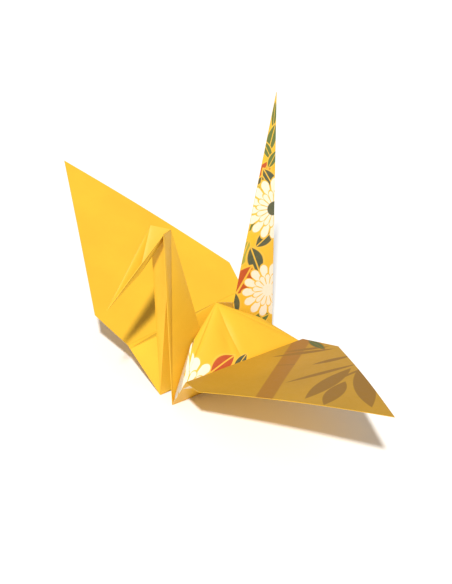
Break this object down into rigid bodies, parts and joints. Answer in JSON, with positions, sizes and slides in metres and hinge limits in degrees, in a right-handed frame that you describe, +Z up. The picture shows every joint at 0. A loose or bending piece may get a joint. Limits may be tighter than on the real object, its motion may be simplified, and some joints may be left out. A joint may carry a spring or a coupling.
{
  "type": "origami crane",
  "caption": "Folded paper crane with spread wings, raised neck and tail and an opened body, standing on its folded feet.",
  "frame": {"origin": "on the table, below the middle of the overall box", "axes": "+Z up, -Y towards the beak, +X towards the near wing"},
  "size_m": [0.1382, 0.0588, 0.077],
  "materials": {
    "printed_paper": "matte printed paper, gold ground with flowers and leaves"
  },
  "bodies": {
    "root": {"folded_sheet": "printed_paper"}
  },
  "joints": []
}
